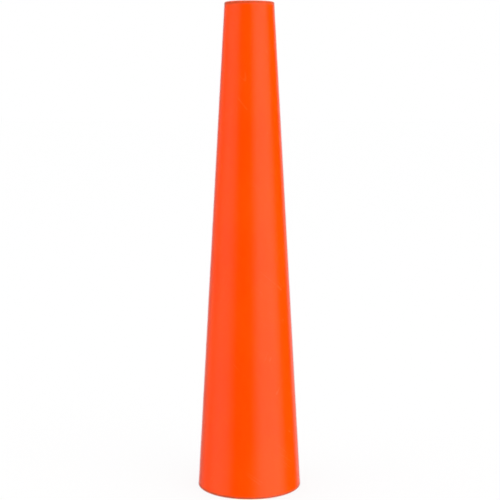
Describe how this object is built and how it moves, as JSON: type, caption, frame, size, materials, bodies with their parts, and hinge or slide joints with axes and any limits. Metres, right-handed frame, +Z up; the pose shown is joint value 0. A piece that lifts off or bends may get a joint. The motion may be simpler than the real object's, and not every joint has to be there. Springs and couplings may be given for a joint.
{
  "type": "traffic cone",
  "caption": "Slender hollow orange traffic cone that slips over the head of a hand torch, with a snap-in tip cap and a soft tapered adapter sleeve gripping the torch inside its mouth.",
  "frame": {"origin": "centre of the mouth, on the plane of the mouth's rim that the cone stands on", "axes": "+Z runs up the cone's axis from the mouth to the tip; the cone is round, so X and Y are free, and -Y is taken as the front"},
  "size_m": [0.044, 0.044, 0.205],
  "materials": {
    "orange_plastic": "satin",
    "sleeve_rubber": "matte"
  },
  "bodies": {
    "sleeve": {"adapter_sleeve": "sleeve_rubber"},
    "cone": {"cone_shell": "orange_plastic", "tip_cap": "orange_plastic"}
  },
  "joints": [
    {"name": "cone_lift", "type": "slide", "parent": "sleeve", "child": "cone", "axis": [0, 0, 1], "range_m": [0, 0.036]}
  ]
}
